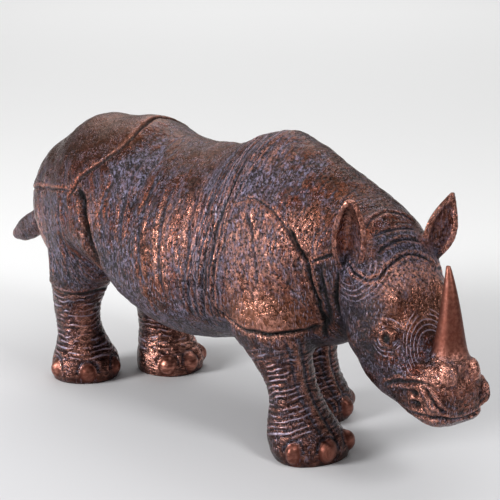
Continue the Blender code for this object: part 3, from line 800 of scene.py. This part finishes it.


# Where the paint is rubbed bright or carries painted highlights, warm and plain, darker with the dark
# wash and with painted shade under the belly, the jaw and the head, or holds patina, in side view:
# x, z, reach in x, reach in z, strength
WEAR = {
    "bright": (
        (62, 104, 14, 12, 0.5), (70, 84, 12, 12, 0.4), (14, 98, 9, 18, 0.7), (27, 106, 6, 16, 0.5),
        (88, 112, 8, 8, 0.7), (169.5, 63, 5, 5.5, 3.0), (137, 97, 6, 6, 1.2), (-96, 84, 5, 18, 0.7),
        (-40, 104, 5, 10, 0.4), (166, 48, 8, 6, 0.5), (-44, 13, 9, 10, 1.7), (140.5, 78, 3, 2.2, 0.6),
        (72, 94, 18, 24, 0.45), (74, 72, 16, 10, 0.35), (146, 84, 6, 7, 0.5), (60, 140, 10, 4, 0.3),
        (95, 100, 5, 12, 0.5), (-84, 8, 12, 6, 0.3),
    ),
    "warm": (
        (72, 71, 20, 11, 1.2), (146, 84, 7, 9, 1.0), (-95, 126, 22, 12, 0.7), (10, 132, 22, 8, 0.6),
        (74, 138, 14, 8, 0.5), (4, 76, 8, 14, 0.7), (-84, 111, 24, 4, 0.6), (96, 122, 10, 8, 0.6),
        (-12, 92, 5, 16, 0.5),
    ),
    "dark": (
        (-30, 66, 16, 18, 0.6), (128, 73, 13, 16, 2.4), (-8, 50, 46, 9, 0.6), (106, 84, 8, 16, 0.8),
        (40, 78, 7, 12, 0.5), (150, 46, 14, 8, 0.6), (-66, 60, 10, 8, 0.5), (66, 52, 24, 12, 1.1),
        (70, 24, 40, 26, 0.9), (104, 60, 10, 10, 0.9), (-80, 34, 20, 22, 0.5),
    ),
    "patina": (
        (58, 134, 20, 12, 0.6), (-25, 126, 20, 12, 0.5), (60, 100, 20, 20, 0.4), (-22, 72, 18, 24, 0.6),
        (0, 50, 48, 12, 0.5), (128, 76, 15, 20, 0.4), (-84, 84, 16, 24, 0.3), (104, 86, 9, 18, 0.5),
        (70, 58, 40, 10, 0.3), (-70, 66, 12, 8, 0.5), (130, 108, 14, 10, 0.5), (134, 84, 6, 7, 0.5),
        (0, 20, 160, 24, -0.25), (146, 84, 8, 9, -0.5), (74, 70, 20, 10, -0.6), (142, 76, 5, 4, -0.6),
        (169, 60, 9, 10, -0.3), (88, 112, 8, 8, -0.3),
    ),
    "plain": ((146, 85, 8, 9, 1.0), (169, 61, 8, 8, 0.8), (72, 71, 20, 9, 0.7), (-95, 126, 22, 12, 0.5)),
}


def worn(points, name):
    """Soft patches: the sum of a bell round each place of the table, in side view."""
    total = 0
    for x, z, reach_x, reach_z, strength in WEAR[name]:
        total = total + strength * bell(points[:, 0] - x, reach_x) * bell(points[:, 2] - z, reach_z)
    return total


def skin():
    """The whole figure as one closed skin of about 200 thousand triangles, with its painted values."""
    bulk = [trunk(), head()] + [leg(*row) for row in LEGS.values()]
    bulk += [mass(*row, side) for row in MASSES.values() for side in (-1, 1)]
    body = fused(gathered("body", bulk), BODY_CELL, 24, 1)
    fine = [horn(), tail()] + [ear(*row) for row in EARS.values()]
    fine += [mass(*row, side) for row in LUMPS.values() for side in (-1, 1)]
    size = (NAIL_RADIUS, NAIL_RADIUS, NAIL_RADIUS * 1.1)
    for foot, bearings in NAILS.items():
        fine += [mass(nail_middle(*LEGS[foot][:2], turn), size, 0, 1) for turn in bearings]
    figure = gathered("rhinoceros_skin", fine)
    add_mesh(figure, body.data)
    bpy.data.objects.remove(body)
    fused(figure, SKIN_CELL, 3)

    mesh = figure.data
    points, normals = read(mesh)
    outward = smooth_step((normals[:, 1] * np.sign(points[:, 1]) + 0.55) / 0.4)
    zones = regions(points)
    legs, face, on_horn, ears, cups, tails, nails, arch = zones
    bare = (1 - on_horn) * (1 - ears) * (1 - nails)
    grain, across = grain_coordinates(points, legs, face)
    fold_height, fold_cut, rim = folds(points, outward)
    stroke_height, stroke_cut, stroke_line = strokes(points, outward)
    counts, ringed = ring_lines(points, normals, legs, face, noise(points / 8, 11))
    fine_height, grooves, socket, smooth_top, cord, shin, beyond = texture(
        points, normals, zones, across, counts, ringed
    )
    height = (fold_height + stroke_height) * bare + fine_height
    carved = points + normals * height[:, None]
    store(mesh, carved)
    carved, carved_normals = read(mesh)
    ridge = np.clip(bent(mesh, carved, carved_normals) / 0.09, -1, 1)

    rough = (1 - on_horn) * (1 - nails) * (1 - 0.4 * ears)
    y, z = points[:, 1], points[:, 2]
    bundle = bell(points[:, 0] - 39 - 0.05 * (z - 100), 11) * smooth_step((z - 58) / 14)
    # Lighter olive-brown on the smooth rump top, and a painted sheen on every place that faces up
    olive_top_sheen = smooth_top + 0.4 * smooth_step((normals[:, 2] - 0.6) / 0.3) * (1 - face)
    # Painted shade low down on the far side, in front
    far_side = smooth_step((y - 5) / 10) * smooth_step((60 - z) / 10) * (points[:, 0] > 0)
    # Painted highlights where the bright table puts them, stronger on the ridges
    shine = (0.6 + np.maximum(ridge, -0.4)) * 1.5 * worn(points, "bright")
    # Darker on the legs, painted shade on the far side and beyond the foreleg cords, and the horn, tail and
    # nails darker in their own colour
    shade_and_dark_parts = 0.6 * legs + 0.8 * on_horn + 0.1 * nails + 0.6 * tails + 0.5 * far_side + 0.9 * beyond
    values = {
        "patina": (0.42 + worn(points, "patina") - 0.5 * olive_top_sheen - 0.3 * ridge - 0.7 * shin) * rough,
        "warm": worn(points, "warm") + 0.6 * olive_top_sheen + 0.6 * cord,
        # Dark wash and painted shade, lifted in the ear cups and on the shins
        "dark": worn(points, "dark") + shade_and_dark_parts - 0.4 * cups - shin,
        # Copper rubbed bright on the ridges, with painted highlights: the shine, the hind shins, and the
        # ears painted lighter against the shade in them
        "bright": 0.5 * np.maximum(ridge, 0) + shine + 0.8 * shin + 0.3 * ears,
        # Nearly black in the folds, the hollows and the eye sockets: dark wash and painted shade
        "cut": np.maximum(fold_cut, stroke_cut) * bare + 0.5 * np.maximum(-ridge - 0.3, 0) + socket,
        "groove": np.maximum.reduce([grooves, 0.9 * arch * (1 - nails), 0.8 * stroke_line * bare]),
        "ringed": ringed * bare * (1 - cord) * (1 - 0.7 * beyond),
        "rim": rim * bare + 0.2 * on_horn + 0.2 * nails,
        "strand": bundle * (1 - face) * bare + 0.35 * tails,
        "satin": on_horn + 0.6 * nails,
        "rough": rough * (1 - 0.5 * smooth_top) * (1 - 0.5 * legs) * (1 - 0.85 * worn(points, "plain")),
    }
    paint(mesh, "grain", grain)
    paint(mesh, "count", counts)
    for name, value in values.items():
        paint(mesh, name, np.clip(value, 0, 1))

    placed = (turned(carved) - [MIDDLE[0], MIDDLE[1], 0]) * PART
    store(mesh, placed)
    thin = figure.modifiers.new("Thin", "DECIMATE")
    thin.ratio = SKIN_TRIANGLES / (2 * len(mesh.polygons))
    thin.use_collapse_triangulate = True
    applied(figure)
    flat_soles(figure.data)
    return figure


def flat_soles(mesh):
    """Cuts the feet off level at the floor and closes them."""
    cut = bmesh.new()
    cut.from_mesh(mesh)
    everything = cut.verts[:] + cut.edges[:] + cut.faces[:]
    bmesh.ops.bisect_plane(cut, geom=everything, plane_co=(0, 0, 0), plane_no=(0, 0, 1), clear_inner=True)
    bmesh.ops.holes_fill(cut, edges=[edge for edge in cut.edges if edge.is_boundary])
    bmesh.ops.triangulate(cut, faces=[face for face in cut.faces if len(face.verts) > 3])
    bmesh.ops.recalc_face_normals(cut, faces=cut.faces)
    cut.to_mesh(mesh)
    cut.free()
    mesh.shade_smooth()


def linear(code):
    """A colour written as sRGB hex, as the linear values that a shader takes."""
    values = [int(code[i : i + 2], 16) / 255 for i in (1, 3, 5)]
    return [v / 12.92 if v <= 0.04045 else ((v + 0.055) / 1.055) ** 2.4 for v in values] + [1]


def node(tree, kind, ins=None, out=0, **settings):
    """Adds a node with its settings, fills or links its inputs, and hands back one output."""
    made = tree.nodes.new(kind)
    for name, value in settings.items():
        setattr(made, name, value)
    for key, value in (ins or {}).items():
        if isinstance(value, bpy.types.NodeSocket):
            tree.links.new(value, made.inputs[key])
        else:
            made.inputs[key].default_value = value
    return made.outputs[out]


MATH, MIX, SPREAD = "ShaderNodeMath", "ShaderNodeMix", "ShaderNodeMapRange"
NOISE, CELLS, PLACED = "ShaderNodeTexNoise", "ShaderNodeTexVoronoi", "ShaderNodeMapping"


# Paints, wash and patina of the figure, with its painted highlights and painted shade, as sRGB colours
PAINT = {
    "deep_copper": "#220e0a",
    "copper": "#522214",
    "rust": "#672d15",
    "orange_brown": "#6b3b1c",
    "patina_shadow": "#0d0a10",
    "patina": "#88829f",
    "dark_wash_and_shade": "#140d13",
    "patina_line": "#aaa4bd",
    "rubbed_copper_and_highlight": "#d0917f",
    "rubbed_edge_and_highlight": "#b96a55",
    "pit": "#0d080a",
    "fold": "#0a0708",
}


def copper_painted_resin():
    """Cast resin under metallic copper paint, washed dark, then dry-brushed, with painted shade and
    highlights.

    Rubbed ridges and painted highlights show pink satin copper, and flat places brown copper with bands of
    rust brown. A lavender-grey patina, duller and less metallic, is hatched over whole bands and marks fine
    lines.
    Deep folds, hollows and the eye sockets are painted nearly black, as dark wash and painted shade, and
    the dark wash also paints shade under the body, on the legs and on the far side. The horn and the nails
    are plain and more matt.
    """
    material = bpy.data.materials.new("copper_painted_resin")
    material.use_nodes = True
    tree = material.node_tree
    shader = tree.nodes["Principled BSDF"]
    coat = {name: linear(code) for name, code in PAINT.items()}
    place = node(tree, "ShaderNodeTexCoord", out=3)
    grain = node(tree, "ShaderNodeAttribute", out=1, attribute_name="grain")
    names = "patina warm dark bright cut groove count ringed rim strand rough satin".split()
    painted = {name: node(tree, "ShaderNodeAttribute", out=2, attribute_name=name) for name in names}

    # Bands of patina 7 mm wide along the wrinkles, more where the wear table says
    bands = node(tree, NOISE, {"Vector": grain, "Scale": 1 / 7, "Detail": 4.0, "Roughness": 0.7})
    bands = node(tree, MATH, {0: painted["patina"], 1: 0.6, 2: bands}, operation="MULTIPLY_ADD")
    bands = node(tree, SPREAD, {"Value": bands, "From Min": 0.72, "From Max": 0.88})
    # Hatching of the brushed-on patina, 1.1 mm across the wrinkles and twice as long along them
    ins = {"Vector": grain, "Scale": 1 / 1.1, "Detail": 2.0, "Roughness": 0.7, "Distortion": 0.6}
    hatching = node(tree, SPREAD, {"Value": node(tree, NOISE, ins), "From Min": 0.47, "From Max": 0.62})
    # Bands of rust brown 9 mm wide between those of the patina
    ins = {"Vector": grain, "Scale": 1 / 9, "Detail": 3.0, "Roughness": 0.6, "Distortion": 0.4}
    ins = {"Value": node(tree, NOISE, ins), "From Min": 0.5, "From Max": 0.6, "To Max": 0.75}
    rust = node(tree, SPREAD, ins)
    # Brush hairs: dashes 0.5 mm wide and 3 mm long, leaning both ways
    dashes = []
    for lean in (0.5, -0.65):
        hair = node(tree, PLACED, {"Vector": place, "Rotation": (0, lean, 0.4), "Scale": (1100, 1100, 170)})
        hair = node(tree, CELLS, {"Vector": hair, "Scale": 1.0})
        ins = {"Value": hair, "From Min": 0.2, "From Max": 0.32, "To Min": 1, "To Max": 0}
        dashes.append(node(tree, SPREAD, ins))
    dashes = node(tree, MATH, {0: dashes[0], 1: dashes[1]}, operation="MAXIMUM")
    patches = node(tree, NOISE, {"Vector": place, "Scale": 1 / 0.009, "Detail": 2.0})
    patches = node(tree, SPREAD, {"Value": patches, "From Min": 0.42, "From Max": 0.56})
    dashes = node(tree, MATH, {0: dashes, 1: patches}, operation="MULTIPLY")
    # Long strands 0.9 mm apart in the bundle behind the shoulder
    strand = node(tree, PLACED, {"Vector": grain, "Scale": (1 / 0.9, 1 / 14, 1 / 14)})
    strand = node(tree, NOISE, {"Vector": strand, "Scale": 1.0, "Detail": 1.0})
    strand = node(tree, MATH, {0: strand, 1: 0.5}, operation="SUBTRACT")
    strand = node(tree, MATH, {0: strand}, operation="ABSOLUTE")
    ins = {"Value": strand, "From Min": 0.01, "From Max": 0.06, "To Min": 1, "To Max": 0}
    strand = node(tree, MATH, {0: node(tree, SPREAD, ins), 1: painted["strand"]}, operation="MULTIPLY")
    # Rings round the eyes, ear roots, horn seat and legs, 0.5 mm wide
    ring = node(tree, MATH, {0: painted["count"], 1: 0.5}, operation="PINGPONG")
    ring = node(tree, SPREAD, {"Value": ring, "From Min": 0.06, "From Max": 0.17, "To Min": 1, "To Max": 0})
    ring = node(tree, MATH, {0: ring, 1: painted["ringed"]}, operation="MULTIPLY")
    # Tone of the copper in clouds 12 mm across, and specks 1.4 mm across where it is rubbed bright or
    # carries a painted highlight
    tone = node(tree, NOISE, {"Vector": place, "Scale": 1 / 0.012, "Detail": 4.0, "Roughness": 0.65})
    tone = node(tree, SPREAD, {"Value": tone, "From Min": 0.36, "From Max": 0.64})
    specks = node(tree, NOISE, {"Vector": grain, "Scale": 1 / 1.4, "Detail": 2.0, "Roughness": 0.6})
    specks = node(tree, SPREAD, {"Value": specks, "From Min": 0.42, "From Max": 0.6})
    rubbed_and_highlight = node(tree, SPREAD, {"Value": specks, "To Min": 0.25, "To Max": 1.0})
    rubbed_and_highlight = node(tree, MATH, {0: painted["bright"], 1: rubbed_and_highlight}, operation="MULTIPLY")
    # Grit of 1.2 mm, whose pits are painted dark: dark wash and painted shade in the hollows of its bump
    grit = node(tree, NOISE, {"Vector": place, "Scale": 1 / 0.0012, "Detail": 2.0, "Roughness": 0.6})
    ins = {"Value": grit, "From Min": 0.38, "From Max": 0.48, "To Min": 0.9, "To Max": 0}
    pits = node(tree, MATH, {0: node(tree, SPREAD, ins), 1: painted["rough"]}, operation="MULTIPLY")

    fine = node(tree, MATH, {0: dashes, 1: 0.75}, operation="MULTIPLY")
    fine = node(tree, MATH, {0: fine, 1: strand}, operation="MAXIMUM")
    fine = node(tree, MATH, {0: fine, 1: painted["rough"]}, operation="MULTIPLY")
    groove = node(tree, MATH, {0: painted["groove"], 1: 0.5}, operation="MULTIPLY")
    groove = node(tree, MATH, {0: groove, 1: hatching}, operation="MULTIPLY")
    lines = node(tree, MATH, {0: fine, 1: ring}, operation="MAXIMUM")
    lines = node(tree, MATH, {0: lines, 1: groove}, operation="MAXIMUM")
    patina = node(tree, MATH, {0: bands, 1: painted["rough"]}, operation="MULTIPLY")

    ins = {0: hatching, 6: coat["patina_shadow"], 7: coat["patina"]}
    patina_colour = node(tree, MIX, ins, 2, data_type="RGBA")
    ins = {0: tone, 6: coat["deep_copper"], 7: coat["copper"]}
    colour = node(tree, MIX, ins, 2, data_type="RGBA")
    # The coats in the order they went on: where each lies, the most of it anywhere, and its colour
    coats = (
        (rust, 1.0, coat["rust"]),
        (painted["warm"], 0.8, coat["orange_brown"]),
        (patina, 0.85, patina_colour),
        # Dark wash and painted shade
        (painted["dark"], 0.72, coat["dark_wash_and_shade"]),
        (lines, 0.85, coat["patina_line"]),
        # Rubbed copper with painted highlights
        (rubbed_and_highlight, 1.0, coat["rubbed_copper_and_highlight"]),
        # Rubbed plate edges with their painted highlights, and the redder horn and nails
        (painted["rim"], 1.0, coat["rubbed_edge_and_highlight"]),
        # Pits, folds, hollows and eye sockets: dark wash and painted shade
        (pits, 1.0, coat["pit"]),
        (painted["cut"], 1.0, coat["fold"]),
    )
    for where, most, paint_colour in coats:
        share = node(tree, MATH, {0: where, 1: most}, operation="MULTIPLY")
        colour = node(tree, MIX, {0: share, 6: colour, 7: paint_colour}, 2, data_type="RGBA")

    # Patina, lines and folds are duller and less metallic than the copper
    dull = node(tree, MATH, {0: patina, 1: lines}, operation="MAXIMUM")
    dull = node(tree, MATH, {0: dull, 1: painted["cut"]}, operation="MAXIMUM")
    metal = node(tree, SPREAD, {"Value": dull, "To Min": 0.92, "To Max": 0.5})
    gloss = node(tree, SPREAD, {"Value": dull, "To Min": 0.25, "To Max": 0.42})
    satin = node(tree, SPREAD, {"Value": painted["satin"], "To Min": 0.25, "To Max": 0.5})
    gloss = node(tree, MATH, {0: gloss, 1: satin}, operation="MAXIMUM")
    # Relief too fine for the mesh: hatching, specks, lines and grit, all about 0.5 mm deep
    relief = node(tree, MATH, {0: hatching, 1: patina, 2: grit}, operation="MULTIPLY_ADD")
    relief = node(tree, MATH, {0: lines, 1: 0.7, 2: relief}, operation="MULTIPLY_ADD")
    relief = node(tree, MATH, {0: specks, 1: 0.7, 2: relief}, operation="MULTIPLY_ADD")
    fade = node(tree, SPREAD, {"Value": painted["rough"], "To Min": 0.08, "To Max": 1.0})
    relief = node(tree, MATH, {0: relief, 1: fade}, operation="MULTIPLY")
    bump = node(tree, "ShaderNodeBump", {"Height": relief, "Distance": 0.0005, "Strength": 1.0})

    links = {"Base Color": colour, "Metallic": metal, "Roughness": gloss, "Normal": bump}
    for name, source in links.items():
        tree.links.new(source, shader.inputs[name])
    tree.links.new(bump, shader.inputs["Coat Normal"])
    # A thin lacquer gives the small white glints
    shader.inputs["Coat Weight"].default_value = 0.12
    shader.inputs["Coat Roughness"].default_value = 0.2
    return material


def backdrop_paper():
    """Matt studio paper with painted light: light grey under the figure and white behind it.

    The share of white rises along the level way from the camera, over a length in metres.
    """
    material = bpy.data.materials.new("matt_studio_paper")
    material.use_nodes = True
    tree = material.node_tree
    shader = tree.nodes["Principled BSDF"]
    place = node(tree, "ShaderNodeTexCoord", out=3)
    away = (-0.69, 0.72, 0)
    behind = node(tree, "ShaderNodeVectorMath", {0: place, 1: away}, 1, operation="DOT_PRODUCT")
    share = {"Value": behind, "From Min": -0.06, "From Max": 0.34}
    share = node(tree, SPREAD, share, interpolation_type="SMOOTHSTEP")
    # Painted light: darker paper near the figure, white behind it
    ins = {0: share, 6: linear("#d2d2d4"), 7: linear("#f6f6f6")}
    tree.links.new(node(tree, MIX, ins, 2, data_type="RGBA"), shader.inputs["Base Color"])
    shader.inputs["Roughness"].default_value = 0.9
    return material


def floor():
    """A level sheet of 12 m, as a grid of two parameters, 0.2 mm under the soles."""
    reach = np.linspace(-6, 6, 3)
    x, y = np.meshgrid(reach, reach, indexing="ij")
    points = np.stack([x, y, np.full_like(x, -0.0002)], axis=-1).reshape(-1, 3)
    index = np.arange(9).reshape(3, 3)
    quads = np.stack([index[:-1, :-1], index[1:, :-1], index[1:, 1:], index[:-1, 1:]], axis=-1)
    mesh = bpy.data.meshes.new("floor")
    mesh.from_pydata(points.tolist(), [], quads.reshape(-1, 4).tolist())
    thing = bpy.data.objects.new("floor", mesh)
    bpy.context.scene.collection.objects.link(thing)
    mesh.materials.append(backdrop_paper())


def aimed(thing, place, target):
    """Stands a camera or light at a place, pointing at a target."""
    back = np.subtract(place, target)
    back = back / np.linalg.norm(back)
    sideways = [0, 0, 1] if abs(back[2]) < 0.99 else [0, 1, 0]
    right = np.cross(sideways, back)
    right = right / np.linalg.norm(right)
    matrix = np.eye(4)
    matrix[:3, :4] = np.stack([right, np.cross(back, right), back, place], axis=1)
    # Blender reads a flat array column by column
    thing.matrix_world = matrix.T
    bpy.context.scene.collection.objects.link(thing)


def softbox(name, place, target, size, power):
    """A square area light, whose brightness is its power over pi and its area."""
    lamp = bpy.data.lights.new(name, "AREA")
    lamp.shape = "SQUARE"
    lamp.size, lamp.energy = size, power
    aimed(bpy.data.objects.new(name, lamp), place, target)


# Lights: place, target, side of the square and power, in metres and watts
SOFTBOXES = {
    "ceiling": ((0, 0, 2), (0, 0, 0), 3, 20),
    "backdrop_light": ((-2.5, 2.6, 2.2), (-2.5, 2.6, 0), 4, 74),
    "key": ((-0.45, -1.25, 0.6), (0, 0, 0.07), 0.5, 20),
    "glint": ((0.95, -0.1, 0.8), (0.05, 0, 0.07), 0.3, 5),
}
ROOM_LIGHT = 0.15


def studio():
    """A dim room, a soft overhead light, one for the paper behind and two softboxes for the glints."""
    world = bpy.data.worlds.new("pale_studio")
    world.use_nodes = True
    world.node_tree.nodes["Background"].inputs["Color"].default_value = (1, 1, 1, 1)
    world.node_tree.nodes["Background"].inputs["Strength"].default_value = ROOM_LIGHT
    bpy.context.scene.world = world
    for name, row in SOFTBOXES.items():
        softbox(name, *row)
    bpy.context.scene.view_settings.view_transform = "Standard"


def camera():
    """A 90 mm lens on a 36 mm frame, 43.5 degrees forward of the right flank, looking 14.7 degrees down."""
    lens = bpy.data.cameras.new("camera")
    lens.sensor_width, lens.lens, lens.clip_start = 36, 90, 0.02
    turn, dip = math.radians(43.5), math.radians(14.7)
    look = np.array([-math.sin(turn) * math.cos(dip), math.cos(turn) * math.cos(dip), -math.sin(dip)])
    place = np.array([0.447 - MIDDLE[0] * PART, -0.443 - MIDDLE[1] * PART, 0.247])
    eye = bpy.data.objects.new("camera", lens)
    aimed(eye, place, place + look)
    bpy.context.scene.camera = eye


camera()
studio()
floor()
figure = skin()
figure.data.materials.clear()
figure.data.materials.append(copper_painted_resin())
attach(figure, "root")
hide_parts("rhinoceros")
